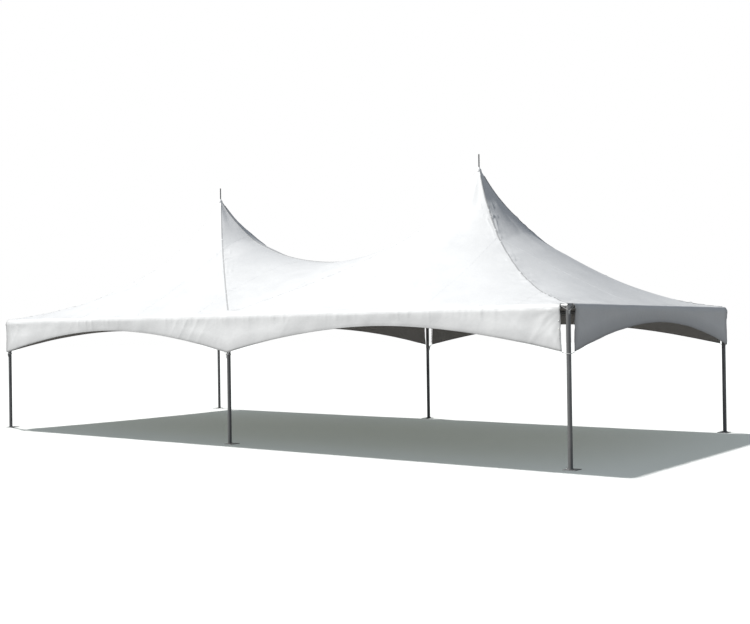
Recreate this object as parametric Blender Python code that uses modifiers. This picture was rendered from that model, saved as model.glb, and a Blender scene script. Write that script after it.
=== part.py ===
"""Twin-peak marquee tent on a six-leg tube frame, 20 by 40 feet, peaks at 15 feet."""
import math

import bmesh
import bpy
import numpy as np
from mathutils import Matrix, Vector

# Driving dimensions in metres. X runs along the tent, -Y is the front, Z is up.
BAY = 6.096                 # one square bay; the frame is two bays long and one wide
EAVE_Z = 2.150              # axis of the perimeter tubes
PEAK_Z = 4.572              # canvas at each peak
SPIKE_TOP_Z = 4.850
TUBE_R = 0.03175
TUBE_WALL = 0.003
GAP = 0.0003                # clearance between touching pieces
SHEET = 0.003               # thickness of the simplified canvas

# Frame details
FITTING_ARM = 0.050         # fitting centre to the tube end
STUB_R = 0.0284
STUB_END = 0.110
POST_R = 0.0300             # upright core of a fitting
LUG_END = 0.110
LUG_DROP = 0.015
PLATE_SIZE = (0.180, 0.200, 0.008)
PLATE_SHIFT = 0.045         # plates reach further under the tent than outside it
STAKE_SHIFT = 0.105         # leg to the line of the two stake holes
STAKE_SPREAD = 0.055
STAKE_R = 0.0125
COLLAR_R = 0.042
COLLAR_TOP = 0.018

# Masts and the crossed cables they stand on
MAST_R = 0.0286
HUB_Z = 2.052               # top of the hub, foot of the mast
HUB_R = 0.060
HUB_THICK = 0.014
CABLE_R = 0.005
SLEEVE_R = 0.010
SLEEVE_LEN = 0.080

# Roof net: a stretched membrane with stiffer lines along hips and ridge
RING_R = 0.0292             # hole for the mast at each peak
SIDE_STEPS = 4              # net columns on half a side of the bay
NET_RINGS = 11
RING_POWER = 1.8
HIP_PULL = 1.0
RIDGE_PULL = 0.7
ROLL_R = 0.0325             # canvas wrapped over the perimeter tube
ROLL_STEPS = 5

# Valances: deep at the legs, shallow in mid bay, open at the corners and mid back leg
DROP_LEG = 0.620
DROP_MID = 0.220
DROP_POWER = 1.85
CORNER_GAP = 0.090
VALANCE_STEP = 0.30

SIDES = 20                  # facets round a tube


def clear_scene():
    """Remove everything a fresh file starts with."""
    for item in list(bpy.data.objects):
        bpy.data.objects.remove(item, do_unlink=True)


def make_collection(name, cutters=False):
    """Add a collection to the scene; cutters are kept out of the render."""
    collection = bpy.data.collections.new(name)
    bpy.context.scene.collection.children.link(collection)
    collection.hide_render = cutters
    return collection


def make_material(name, colour, metallic, roughness):
    """One Principled material with a flat colour."""
    material = bpy.data.materials.new(name)
    material.use_nodes = True
    shader = material.node_tree.nodes["Principled BSDF"]
    shader.inputs["Base Color"].default_value = (*colour, 1.0)
    shader.inputs["Metallic"].default_value = metallic
    shader.inputs["Roughness"].default_value = roughness
    return material


def add_object(name, bm, look, smooth_angle=None):
    """Turn a bmesh into a named object with its own material."""
    bmesh.ops.recalc_face_normals(bm, faces=bm.faces[:])
    mesh = bpy.data.meshes.new(name)
    bm.to_mesh(mesh)
    bm.free()
    item = bpy.data.objects.new(name, mesh)
    PARTS.objects.link(item)
    mesh.materials.append(make_material(name + "_material", *look))
    if smooth_angle is not None:
        mesh.shade_smooth()
        mesh.set_sharp_from_angle(angle=math.radians(smooth_angle))
    return item


def direction_matrix(start, direction):
    """Frame at start whose Z axis points along direction."""
    turn = Vector(direction).to_track_quat("Z", "Y").to_matrix().to_4x4()
    return Matrix.Translation(Vector(start)) @ turn


def add_rod(bm, start, end, radius):
    """Closed round bar."""
    axis = Vector(end) - Vector(start)
    middle = (Vector(start) + Vector(end)) / 2
    bmesh.ops.create_cone(bm, cap_ends=True, segments=SIDES, radius1=radius,
                          radius2=radius, depth=axis.length,
                          matrix=direction_matrix(middle, axis))


def add_box(bm, centre, size, turn=0.0):
    """Closed box turned about Z."""
    matrix = (Matrix.Translation(Vector(centre)) @ Matrix.Rotation(turn, 4, "Z")
              @ Matrix.Diagonal((*size, 1.0)))
    bmesh.ops.create_cube(bm, size=1.0, matrix=matrix)


def boolean_tool(name, build):
    """Hidden wire object that a Boolean adds or cuts."""
    bm = bmesh.new()
    build(bm)
    mesh = bpy.data.meshes.new(name)
    bm.to_mesh(mesh)
    bm.free()
    item = bpy.data.objects.new(name, mesh)
    CUTTERS.objects.link(item)
    item.hide_render = True
    item.display_type = "WIRE"
    return item


def combine(item, operation, shapes):
    """Add or cut shapes with exact Booleans, one after another."""
    for number, build in enumerate(shapes):
        tool = boolean_tool(f"{item.name}_{operation.lower()}_{number}", build)
        modifier = item.modifiers.new(tool.name, "BOOLEAN")
        modifier.operation = operation
        modifier.solver = "EXACT"
        modifier.object = tool


def tube(name, start, end, radius, look):
    """Open-ended tube with a wall, made from an uncapped cylinder."""
    axis = Vector(end) - Vector(start)
    middle = (Vector(start) + Vector(end)) / 2
    bm = bmesh.new()
    bmesh.ops.create_cone(bm, cap_ends=False, segments=SIDES, radius1=radius,
                          radius2=radius, depth=axis.length,
                          matrix=Matrix.Identity(4))
    item = add_object(name, bm, look, smooth_angle=40)
    item.matrix_world = direction_matrix(middle, axis)
    wall = item.modifiers.new("wall", "SOLIDIFY")
    wall.thickness = TUBE_WALL
    wall.offset = -1.0
    return item


def base_plate(name, x, y, look):
    """Foot plate with a collar, a peg inside the leg and two stake holes."""
    inward = -math.copysign(1.0, y)
    thick = PLATE_SIZE[2]
    centre_y = y + inward * PLATE_SHIFT
    bm = bmesh.new()
    add_box(bm, (x, centre_y, thick / 2), PLATE_SIZE)
    item = add_object(name, bm, look)
    peg_top = COLLAR_TOP + 0.090
    combine(item, "UNION", [
        lambda b: add_rod(b, (x, y, thick / 2), (x, y, COLLAR_TOP), COLLAR_R),
        lambda b: add_rod(b, (x, y, thick / 2), (x, y, peg_top), STUB_R)])
    hole_y = y + inward * STAKE_SHIFT
    combine(item, "DIFFERENCE", [
        lambda b, hole_x=x + side * STAKE_SPREAD: add_rod(
            b, (hole_x, hole_y, -0.01), (hole_x, hole_y, 0.02), STAKE_R)
        for side in (-1, 1)])
    item.modifiers.new("edge", "BEVEL").width = 0.001
    item.modifiers["edge"].limit_method = "ANGLE"
    item.modifiers.move(len(item.modifiers) - 1, 0)
    return item


def fitting(name, x, y, arms, look):
    """Eave fitting: stubs that slide into the tubes and lugs for the mast cables."""
    bm = bmesh.new()
    centre = Vector((x, y, EAVE_Z))
    add_rod(bm, centre - Vector((0, 0, FITTING_ARM)), centre + Vector((0, 0, 0.010)), POST_R)
    item = add_object(name, bm, look, smooth_angle=40)
    along = [arm[0] * FITTING_ARM for arm in arms] + [0.0]
    shapes = [
        lambda b: add_rod(b, centre + Vector((min(along), 0, 0)),
                          centre + Vector((max(along), 0, 0)), TUBE_R),
        lambda b: add_rod(b, centre, centre + Vector((0, arms[0][1] * FITTING_ARM, 0)), TUBE_R)]
    for way in [Vector(arm) for arm in arms] + [Vector((0, 0, -1))]:
        shapes.append(lambda b, w=way: add_rod(
            b, centre + w * (FITTING_ARM - 0.010), centre + w * STUB_END, STUB_R))
    inward = -math.copysign(1.0, y)
    for side in sorted({math.copysign(1.0, arm[0]) for arm in arms if arm[0]}):
        turn = math.atan2(inward, side)
        reach = LUG_END / 2
        spot = (x + reach * math.cos(turn), y + reach * math.sin(turn), EAVE_Z - LUG_DROP)
        shapes.append(lambda b, s=spot, t=turn: add_box(b, s, (LUG_END, 0.024, 0.010), t))
    combine(item, "UNION", shapes)
    return item


def turned(name, profile, look, matrix, sides=SIDES):
    """Closed turned body from (radius, height) points, placed by a matrix."""
    bm = bmesh.new()
    points = [bm.verts.new((radius, 0.0, height)) for radius, height in profile]
    edges = [bm.edges.new(pair) for pair in zip(points, points[1:])]
    bmesh.ops.spin(bm, geom=points + edges, axis=(0, 0, 1), cent=(0, 0, 0),
                   steps=sides, angle=math.tau, use_merge=True)
    bmesh.ops.remove_doubles(bm, verts=bm.verts[:], dist=0.0001)
    item = add_object(name, bm, look, smooth_angle=40)
    item.matrix_world = matrix
    return item


def mast_hub(name, peak_x, look):
    """Plate between the four cables, with a peg for the foot of the mast."""
    peg_r = MAST_R - TUBE_WALL - 0.00035
    profile = [(0.0, -HUB_THICK), (HUB_R, -HUB_THICK), (HUB_R, 0.0),
               (peg_r, 0.0), (peg_r, 0.050), (0.0, 0.050)]
    return turned(name, profile, look, Matrix.Translation((peak_x, 0, HUB_Z)))


def mast_cable(name, peak_x, sx, sy, look):
    """Taut cable with end sleeves, from the hub rim to the lug of an eave fitting."""
    out = Vector((sx, sy, 0)).normalized()
    start = Vector((peak_x, 0, HUB_Z - HUB_THICK / 2)) + out * (HUB_R + GAP)
    end = (Vector((peak_x + sx * BAY / 2, sy * BAY / 2, EAVE_Z - LUG_DROP))
           - out * (LUG_END + GAP))
    length = (end - start).length
    profile = [(0.0, 0.0), (0.0065, 0.0), (0.0065, 0.060), (CABLE_R, 0.070),
               (CABLE_R, length - SLEEVE_LEN - 0.010), (SLEEVE_R, length - SLEEVE_LEN),
               (SLEEVE_R, length), (0.0, length)]
    return turned(name, profile, look, direction_matrix(start, end - start), sides=8)


def peak_cap(name, peak_x, look):
    """Turned cap that closes the peak, with the spike above and a plug below."""
    top = SPIKE_TOP_Z - PEAK_Z - SHEET - GAP
    profile = [(0.0, -0.050), (0.0250, -0.050), (0.0250, 0.0), (0.0360, 0.0),
               (0.0360, 0.010), (0.0130, 0.034), (0.0110, 0.040),
               (0.0110, top - 0.012), (0.0060, top), (0.0, top)]
    return turned(name, profile, look, Matrix.Translation((peak_x, 0, PEAK_Z + SHEET + GAP)),
                  sides=16)


def bay_border():
    """Half of the border of the bay round a peak at the origin, inner side at -X."""
    half = BAY / 2
    steps = np.arange(SIDE_STEPS + 1) / SIDE_STEPS
    spots = [(half, half * t) for t in steps]
    spots += [(half * (1 - t), half) for t in steps[1:]]
    spots += [(-half * t, half) for t in steps[1:]]
    spots += [(-half, half * (1 - t)) for t in steps[1:]]
    return np.array(spots)


def roof_net():
    """Plan positions and heights (0 at the eave, 1 at the peak) of half a bay."""
    border = bay_border()
    columns = len(border)
    angles = np.arctan2(border[:, 1], border[:, 0])
    ring = RING_R * np.stack([np.cos(angles), np.sin(angles)], axis=1)
    outward = (np.arange(NET_RINGS + 1) / NET_RINGS) ** RING_POWER
    plan = ring[None] + (border - ring)[None] * outward[:, None, None]
    spots = plan.reshape(-1, 2)
    count = len(spots)
    index = np.arange(count).reshape(NET_RINGS + 1, columns)
    pull = np.zeros((count, count))

    def link(a, b, strength):
        pull[a, a] += strength
        pull[b, b] += strength
        pull[a, b] -= strength
        pull[b, a] -= strength

    def membrane(a, b, c):
        """Evenly stretched triangle; half weight, since quads are split both ways."""
        for apex, left, right in ((a, b, c), (b, c, a), (c, a, b)):
            u = spots[left] - spots[apex]
            v = spots[right] - spots[apex]
            link(left, right, 0.25 * float(u @ v) / abs(u[0] * v[1] - u[1] * v[0]))

    for k in range(NET_RINGS):
        for j in range(columns - 1):
            a, b = index[k, j], index[k, j + 1]
            c, d = index[k + 1, j + 1], index[k + 1, j]
            for corners in ((a, b, c), (a, c, d), (a, b, d), (b, c, d)):
                membrane(*corners)
    lines = {SIDE_STEPS: HIP_PULL, 3 * SIDE_STEPS: HIP_PULL, columns - 1: RIDGE_PULL / 2}
    for column, strength in lines.items():
        for k in range(NET_RINGS):
            a, b = index[k, column], index[k + 1, column]
            link(a, b, strength / np.linalg.norm(spots[a] - spots[b]))

    height = np.zeros(count)
    height[index[0]] = 1.0
    fixed = np.zeros(count, dtype=bool)
    fixed[index[0]] = True
    fixed[index[-1, :3 * SIDE_STEPS + 1]] = True
    free = ~fixed
    height[free] = np.linalg.solve(pull[np.ix_(free, free)],
                                   -pull[np.ix_(free, fixed)] @ height[fixed])
    return plan, height.reshape(NET_RINGS + 1, columns)


def canopy(name, look):
    """Both bays of the roof as one sheet, rolled over the perimeter tubes."""
    plan, height = roof_net()
    low = EAVE_Z + ROLL_R
    bm = bmesh.new()
    for sx in (-1, 1):
        for sy in (-1, 1):
            rows = []
            for k in range(NET_RINGS + 1):
                rows.append([bm.verts.new((sx * (BAY / 2 + x), sy * y, low + h * (PEAK_Z - low)))
                             for (x, y), h in zip(plan[k], height[k])])
            for step in range(1, ROLL_STEPS + 1):
                angle = math.pi / 2 * (1 - step / ROLL_STEPS)
                out = ROLL_R * math.cos(angle)
                row = []
                for j, (x, y) in enumerate(plan[-1][:3 * SIDE_STEPS + 1]):
                    end = out if j <= SIDE_STEPS else 0.0
                    side = out if j >= SIDE_STEPS else 0.0
                    row.append(bm.verts.new((sx * (BAY / 2 + x + end), sy * (y + side),
                                             EAVE_Z + ROLL_R * math.sin(angle))))
                rows.append(row)
            for inner, outer in zip(rows, rows[1:]):
                for j in range(min(len(inner), len(outer)) - 1):
                    bm.faces.new((inner[j], inner[j + 1], outer[j + 1], outer[j]))
    bmesh.ops.remove_doubles(bm, verts=bm.verts[:], dist=0.0001)
    item = add_object(name, bm, look, smooth_angle=50)
    if item.data.polygons[0].normal.z < 0:
        item.data.flip_normals()
    skin = item.modifiers.new("skin", "SOLIDIFY")
    skin.thickness = SHEET
    skin.offset = 1.0
    return item


def drop_at(distance):
    """Valance depth at a distance from a leg line, the same in every bay."""
    share = abs(2 * (distance / BAY % 1.0) - 1)
    return DROP_MID + (DROP_LEG - DROP_MID) * share ** DROP_POWER


def valance(name, span, line_start, centre, turn, look):
    """Hanging edge sheet along one side, thickened outward, arched over each bay.

    span is its two ends along the side, and line_start is a leg line to count bays from.
    """
    low_end, high_end = span
    columns = round((high_end - low_end) / VALANCE_STEP)
    top = EAVE_Z - GAP
    matrix = Matrix.Translation(Vector(centre)) @ Matrix.Rotation(turn, 4, "Z")
    bm = bmesh.new()
    rows = [[], []]
    for j in range(columns + 1):
        along = low_end + (high_end - low_end) * j / columns
        bottom = EAVE_Z - drop_at(along - line_start)
        for row, z in zip(rows, (top, bottom)):
            row.append(bm.verts.new(matrix @ Vector((along, 0, z))))
    for j in range(columns):
        bm.faces.new((rows[0][j], rows[1][j], rows[1][j + 1], rows[0][j + 1]))
    item = add_object(name, bm, look)
    outward = matrix.to_3x3() @ Vector((0, -1, 0))
    if item.data.polygons[0].normal.dot(outward) < 0:
        item.data.flip_normals()
    skin = item.modifiers.new("skin", "SOLIDIFY")
    skin.thickness = SHEET
    skin.offset = 1.0
    return item


clear_scene()
PARTS = make_collection("marquee_tent")
CUTTERS = make_collection("cutters", cutters=True)

ALUMINIUM = ((0.42, 0.43, 0.45), 1.0, 0.35)
STEEL = ((0.20, 0.20, 0.22), 1.0, 0.50)
VINYL = ((0.86, 0.87, 0.89), 0.0, 0.50)

LEG_SPOTS = {"front_left": (-BAY, -BAY / 2), "front_middle": (0.0, -BAY / 2),
             "front_right": (BAY, -BAY / 2), "back_left": (-BAY, BAY / 2),
             "back_middle": (0.0, BAY / 2), "back_right": (BAY, BAY / 2)}
TUBE_START = FITTING_ARM + GAP

for place, (leg_x, leg_y) in LEG_SPOTS.items():
    base_plate(f"base_plate_{place}", leg_x, leg_y, STEEL)
    tube(f"leg_{place}", (leg_x, leg_y, COLLAR_TOP + GAP),
         (leg_x, leg_y, EAVE_Z - TUBE_START), TUBE_R, ALUMINIUM)
    ways = [(0, -math.copysign(1, leg_y), 0)]
    ways += [(side, 0, 0) for side in (-1, 1) if abs(leg_x + side * BAY) < BAY + 0.001]
    fitting(f"fitting_{place}", leg_x, leg_y, ways, ALUMINIUM)

for row_name, row_y in (("front", -BAY / 2), ("back", BAY / 2)):
    for bay_name, x_from in (("left", -BAY), ("right", 0.0)):
        tube(f"eave_tube_{row_name}_{bay_name}", (x_from + TUBE_START, row_y, EAVE_Z),
             (x_from + BAY - TUBE_START, row_y, EAVE_Z), TUBE_R, ALUMINIUM)
for cross_name, cross_x in (("eave_tube_left_end", -BAY), ("cross_tube_middle", 0.0),
                            ("eave_tube_right_end", BAY)):
    tube(cross_name, (cross_x, -BAY / 2 + TUBE_START, EAVE_Z),
         (cross_x, BAY / 2 - TUBE_START, EAVE_Z), TUBE_R, ALUMINIUM)

for bay_name, mast_x in (("left", -BAY / 2), ("right", BAY / 2)):
    mast_hub(f"mast_hub_{bay_name}", mast_x, STEEL)
    for side_name, sy in (("front", -1), ("back", 1)):
        for end_name, sx in (("left", -1), ("right", 1)):
            mast_cable(f"mast_cable_{bay_name}_{side_name}_{end_name}", mast_x, sx, sy, STEEL)
    tube(f"mast_{bay_name}", (mast_x, 0, HUB_Z + GAP), (mast_x, 0, PEAK_Z + SHEET),
         MAST_R, ALUMINIUM)
    peak_cap(f"peak_cap_{bay_name}", mast_x, STEEL)

canopy("canopy", VINYL)
FRONT_Y = -BAY / 2 - ROLL_R
LONG_END = BAY - CORNER_GAP
SHORT_END = BAY / 2 - CORNER_GAP
valance("valance_front", (-LONG_END, LONG_END), 0.0, (0, FRONT_Y, 0), 0.0, VINYL)
valance("valance_back_right", (-LONG_END, -CORNER_GAP), 0.0, (0, -FRONT_Y, 0), math.pi, VINYL)
valance("valance_back_left", (CORNER_GAP, LONG_END), 0.0, (0, -FRONT_Y, 0), math.pi, VINYL)
valance("valance_right_end", (-SHORT_END, SHORT_END), -BAY / 2, (BAY + ROLL_R, 0, 0),
        math.pi / 2, VINYL)
valance("valance_left_end", (-SHORT_END, SHORT_END), -BAY / 2, (-BAY - ROLL_R, 0, 0),
        -math.pi / 2, VINYL)
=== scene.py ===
import math

import bmesh
import bpy
import numpy as np
from mathutils import Matrix, Vector
from mathutils.bvhtree import BVHTree


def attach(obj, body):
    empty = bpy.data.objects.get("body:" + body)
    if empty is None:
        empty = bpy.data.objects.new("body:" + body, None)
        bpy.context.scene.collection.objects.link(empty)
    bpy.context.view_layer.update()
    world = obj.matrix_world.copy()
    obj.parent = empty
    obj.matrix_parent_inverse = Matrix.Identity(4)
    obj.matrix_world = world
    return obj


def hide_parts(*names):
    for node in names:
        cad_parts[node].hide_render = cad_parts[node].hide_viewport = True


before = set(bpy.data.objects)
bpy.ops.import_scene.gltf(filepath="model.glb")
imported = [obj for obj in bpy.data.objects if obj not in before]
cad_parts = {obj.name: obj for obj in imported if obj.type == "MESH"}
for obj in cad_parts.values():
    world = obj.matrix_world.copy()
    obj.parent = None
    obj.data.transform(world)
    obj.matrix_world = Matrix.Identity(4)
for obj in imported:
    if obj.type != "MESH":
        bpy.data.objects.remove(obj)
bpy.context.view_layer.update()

# Frame dimensions in metres, as in the solids
BAY = 6.096
HALF = BAY / 2
EAVE_Z = 2.150
PEAK_Z = 4.572
TUBE_R = 0.03175
ROLL_R = 0.0325
RING_R = 0.0292
GAP = 0.0003
CORNER_GAP = 0.090
COLLAR_R = 0.042
HUB_Z = 2.052
HUB_THICK = 0.014
HUB_R = 0.060
LUG_END = 0.110
LUG_DROP = 0.015
LEG_SPOTS = [(x, y) for y in (-HALF, HALF) for x in (-BAY, 0.0, BAY)]

# Roof net
HIP_PULL = 1.0
RIDGE_PULL = 0.7
SIDE_STEPS = 30
NET_RINGS = 94
ROLL_STEPS = 6
CLOTH = 0.0012
CLEAR = 0.0006
SEAM_RISE = 0.0016
PIPING = 0.009

# Valances
DROP_LEG = 0.620
DROP_MID = 0.220
DROP_POWER = 1.85
FOLD_STEP = 0.020
ROLL_ROWS = 9
DROP_ROWS = 22
EAVE_SAG = 0.045
HEM_R = 0.0045
TIE_R = 0.0045
LACE_R = 0.0035

# Camera fitted to the legs, eaves and peaks of the photograph
IMAGE_W, IMAGE_H = 750, 624
CAMERA_SPOT = Vector((12.299, -16.075, 1.858))
CAMERA_YAW, CAMERA_PITCH, CAMERA_ROLL = -39.56, 0.22, 0.81
FOCAL_PX = 1071.2
CENTRE_PX = (299.4, 327.6)


def make_camera():
    """Perspective camera from heading, pitch and roll, with the optical centre as shift."""
    yaw, pitch, roll = (math.radians(a) for a in (CAMERA_YAW, CAMERA_PITCH, CAMERA_ROLL))
    ahead = Vector((math.sin(yaw) * math.cos(pitch), math.cos(yaw) * math.cos(pitch),
                    math.sin(pitch)))
    level = Vector((math.cos(yaw), -math.sin(yaw), 0))
    down = ahead.cross(level)
    right = math.cos(roll) * level + math.sin(roll) * down
    below = -math.sin(roll) * level + math.cos(roll) * down
    data = bpy.data.cameras.new("camera")
    data.sensor_width = 36.0
    data.lens = FOCAL_PX / IMAGE_W * data.sensor_width
    data.shift_x = (IMAGE_W / 2 - CENTRE_PX[0]) / IMAGE_W
    data.shift_y = (CENTRE_PX[1] - IMAGE_H / 2) / IMAGE_W
    data.clip_end = 300.0
    camera = bpy.data.objects.new("camera", data)
    bpy.context.scene.collection.objects.link(camera)
    turn = Matrix((right, -below, -ahead)).transposed().to_4x4()
    camera.matrix_world = Matrix.Translation(CAMERA_SPOT) @ turn
    bpy.context.scene.camera = camera


class Nodes:
    """Short way to build a material's node tree."""

    def __init__(self, name):
        self.material = bpy.data.materials.new(name)
        self.material.use_nodes = True
        self.tree = self.material.node_tree
        self.shader = self.tree.nodes["Principled BSDF"]
        self.place = self.add("ShaderNodeTexCoord").outputs["Object"]

    def add(self, kind, **settings):
        node = self.tree.nodes.new(kind)
        for key, value in settings.items():
            setattr(node, key, value)
        return node

    def join(self, output, target):
        self.tree.links.new(output, target)

    def noise(self, scale, detail=3.0, roughness=0.5, stretch=None):
        """Noise over the object's own coordinates, stretched along an axis if asked."""
        node = self.add("ShaderNodeTexNoise")
        node.inputs["Scale"].default_value = scale
        node.inputs["Detail"].default_value = detail
        node.inputs["Roughness"].default_value = roughness
        place = self.place
        if stretch:
            mapping = self.add("ShaderNodeMapping")
            mapping.inputs["Scale"].default_value = stretch
            self.join(place, mapping.inputs["Vector"])
            place = mapping.outputs["Vector"]
        self.join(place, node.inputs["Vector"])
        return node.outputs["Fac"]

    def ramp(self, value, stops):
        """Colour or grey from a value through (position, colour) stops."""
        node = self.add("ShaderNodeValToRGB")
        while len(node.color_ramp.elements) < len(stops):
            node.color_ramp.elements.new(0.5)
        for element, (position, colour) in zip(node.color_ramp.elements, stops):
            element.position = position
            element.color = (*colour, 1.0)
        self.join(value, node.inputs["Fac"])
        return node.outputs["Color"]

    def attribute(self, name):
        """A number stored on the mesh's points."""
        return self.add("ShaderNodeAttribute", attribute_name=name).outputs["Fac"]

    def maths(self, operation, a, b=None, clamp=False):
        node = self.add("ShaderNodeMath", operation=operation, use_clamp=clamp)
        for socket, value in zip(node.inputs, (a, b)):
            if value is None:
                continue
            if isinstance(value, (int, float)):
                socket.default_value = value
            else:
                self.join(value, socket)
        return node.outputs[0]

    def mix(self, factor, a, b, blend="MIX"):
        """Mixes two colours; each may be a socket or a colour."""
        node = self.add("ShaderNodeMix", data_type="RGBA", blend_type=blend)
        for socket, value in ((node.inputs[0], factor), (node.inputs[6], a), (node.inputs[7], b)):
            if isinstance(value, (int, float)):
                socket.default_value = value
            elif isinstance(value, tuple):
                socket.default_value = (*value, 1.0)
            else:
                self.join(value, socket)
        return node.outputs[2]

    def bump(self, height, distance, strength=1.0, below=None):
        node = self.add("ShaderNodeBump")
        node.inputs["Distance"].default_value = distance
        node.inputs["Strength"].default_value = strength
        self.join(height, node.inputs["Height"])
        if below is not None:
            self.join(below, node.inputs["Normal"])
        return node.outputs["Normal"]


def grey(value, blue=0.0):
    """Neutral colour, a little cooler with blue and warmer with less."""
    return (value, value + blue / 2, value + blue)


def vinyl_material(name, tone, blue, hem=False):
    """Coated polyester: faint scrim weave, soft gloss, dust marks and small creases; with a hem,
    painted shade darkening towards the edges, and stitch rows.
    """
    n = Nodes(name)
    dust = n.noise(0.9, detail=6.0, roughness=0.62)
    fine = n.noise(17.0, detail=4.0)
    colour = n.ramp(dust, [(0.30, grey(tone * 0.93, blue)), (0.60, grey(tone, blue))])
    colour = n.mix(0.12, colour, n.ramp(fine, [(0.3, grey(tone * 0.85)), (0.7, grey(tone))]))
    if hem:
        edge = n.attribute("edge")
        # Painted shade: the colour darkens towards the hem and side edges of the valance
        near = n.ramp(edge, [(0.0, grey(0.62)), (0.05, grey(0.80)), (0.22, grey(1.0))])
        colour = n.mix(1.0, colour, near, "MULTIPLY")
        dashes = n.maths("SINE", n.maths("MULTIPLY", n.attribute("along"), 2 * math.pi / 0.008))
        row = n.maths("LESS_THAN", n.maths("ABSOLUTE", n.maths("SUBTRACT", edge, 0.026)), 0.0012)
        thread = n.maths("MULTIPLY", row, n.maths("GREATER_THAN", dashes, -0.3))
        colour = n.mix(thread, colour, grey(tone * 0.55))
    n.join(colour, n.shader.inputs["Base Color"])
    gloss = n.ramp(n.noise(3.0, detail=5.0), [(0.3, grey(0.40)), (0.7, grey(0.55))])
    n.join(gloss, n.shader.inputs["Roughness"])
    n.shader.inputs["Specular IOR Level"].default_value = 0.35
    n.shader.inputs["Sheen Weight"].default_value = 0.04
    scrim = n.add("ShaderNodeTexChecker")
    scrim.inputs["Scale"].default_value = 420.0
    n.join(n.place, scrim.inputs["Vector"])
    weave = n.bump(scrim.outputs["Fac"], 0.0002, 0.25)
    crease = n.bump(n.noise(5.5, detail=6.0, roughness=0.6), 0.010, 0.5, weave)
    n.join(crease, n.shader.inputs["Normal"])
    return n.material


def webbing_material(name, tone):
    """Woven strap with ribs across it."""
    n = Nodes(name)
    ribs = n.add("ShaderNodeTexWave", wave_type="BANDS", bands_direction="DIAGONAL")
    ribs.inputs["Scale"].default_value = 120.0
    ribs.inputs["Distortion"].default_value = 1.5
    n.join(n.place, ribs.inputs["Vector"])
    weave = ribs.outputs["Fac"]
    soiled = n.ramp(n.noise(4.0, detail=6.0), [(0.35, grey(tone * 0.75, -0.02)), (0.65, grey(tone))])
    n.join(n.mix(0.25, soiled, n.ramp(weave, [(0.2, grey(tone * 0.6)), (0.8, grey(tone))])),
           n.shader.inputs["Base Color"])
    n.shader.inputs["Roughness"].default_value = 0.8
    n.join(n.bump(weave, 0.0008, 0.7), n.shader.inputs["Normal"])
    return n.material


def tube_material(name, tone, stretch):
    """Mill-finish aluminium tube: drawn lines along it, dull patches and scuffs."""
    n = Nodes(name)
    lines = n.noise(9.0, detail=8.0, roughness=0.65, stretch=stretch)
    patches = n.noise(2.6, detail=5.0, roughness=0.6)
    scuffs = n.noise(38.0, detail=6.0, roughness=0.7)
    drawn = n.ramp(lines, [(0.32, grey(tone * 0.70)), (0.70, grey(tone * 1.12, 0.006))])
    worn = n.mix(n.ramp(patches, [(0.40, grey(0.0)), (0.66, grey(0.55))]), drawn,
                 grey(tone * 0.58))
    n.join(n.mix(n.ramp(scuffs, [(0.60, grey(0.0)), (0.72, grey(0.6))]), worn,
                 grey(min(tone * 1.5, 0.9))), n.shader.inputs["Base Color"])
    n.shader.inputs["Metallic"].default_value = 0.6
    n.join(n.ramp(patches, [(0.3, grey(0.30)), (0.7, grey(0.50))]), n.shader.inputs["Roughness"])
    n.join(n.bump(lines, 0.0006, 0.35), n.shader.inputs["Normal"])
    return n.material


def plate_material(name, tone, metallic, roughness):
    """Coated or galvanised steel: mottled tone, specks and a little grime."""
    n = Nodes(name)
    mottle = n.noise(22.0, detail=7.0, roughness=0.65)
    grime = n.noise(6.0, detail=5.0)
    base = n.ramp(mottle, [(0.30, grey(tone * 0.65)), (0.72, grey(tone * 1.35, 0.008))])
    n.join(n.mix(n.ramp(grime, [(0.45, grey(0.0)), (0.70, grey(0.5))]), base,
                 (tone * 0.55, tone * 0.48, tone * 0.40)), n.shader.inputs["Base Color"])
    n.shader.inputs["Metallic"].default_value = metallic
    n.join(n.ramp(mottle, [(0.3, grey(roughness - 0.08)), (0.7, grey(roughness + 0.12))]),
           n.shader.inputs["Roughness"])
    n.join(n.bump(mottle, 0.0008, 0.4), n.shader.inputs["Normal"])
    return n.material


def rope_material(name, tone):
    """Laid rope: fibres and a little soil."""
    n = Nodes(name)
    fibres = n.noise(220.0, detail=4.0, roughness=0.7)
    soil = n.noise(6.0, detail=5.0)
    base = n.ramp(soil, [(0.35, grey(tone * 0.72, -0.03)), (0.65, grey(tone, -0.01))])
    n.join(n.mix(0.3, base, n.ramp(fibres, [(0.3, grey(tone * 0.5)), (0.7, grey(tone))])),
           n.shader.inputs["Base Color"])
    n.shader.inputs["Roughness"].default_value = 0.8
    n.join(n.bump(fibres, 0.0006, 0.8), n.shader.inputs["Normal"])
    return n.material


def floor_material():
    """Plain pale studio floor that throws little light back up, as the ground outdoors; for the
    camera it glows faintly, painted light that lifts its shadow.
    """
    n = Nodes("floor_paint")
    pale = n.ramp(n.noise(0.4, detail=3.0), [(0.3, grey(0.84)), (0.7, grey(0.86))])
    seen = n.add("ShaderNodeLightPath").outputs["Is Camera Ray"]
    n.join(n.mix(seen, (0.26, 0.26, 0.25), pale), n.shader.inputs["Base Color"])
    # Faint greenish glow seen by the camera only: painted light that brightens the floor's cast
    # shadow
    n.shader.inputs["Emission Color"].default_value = (0.125, 0.140, 0.118, 1)
    n.join(seen, n.shader.inputs["Emission Strength"])
    n.shader.inputs["Roughness"].default_value = 0.95
    n.shader.inputs["Specular IOR Level"].default_value = 0.05
    return n.material


class Shape:
    """Vertices and faces of several forms, gathered for one mesh."""

    def __init__(self):
        self.verts = []
        self.faces = []

    def add(self, verts, faces, matrix=None):
        start = len(self.verts)
        if matrix is not None:
            verts = [matrix @ Vector(v) for v in verts]
        self.verts.extend(tuple(v) for v in verts)
        self.faces.extend(tuple(start + i for i in face) for face in faces)


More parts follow.
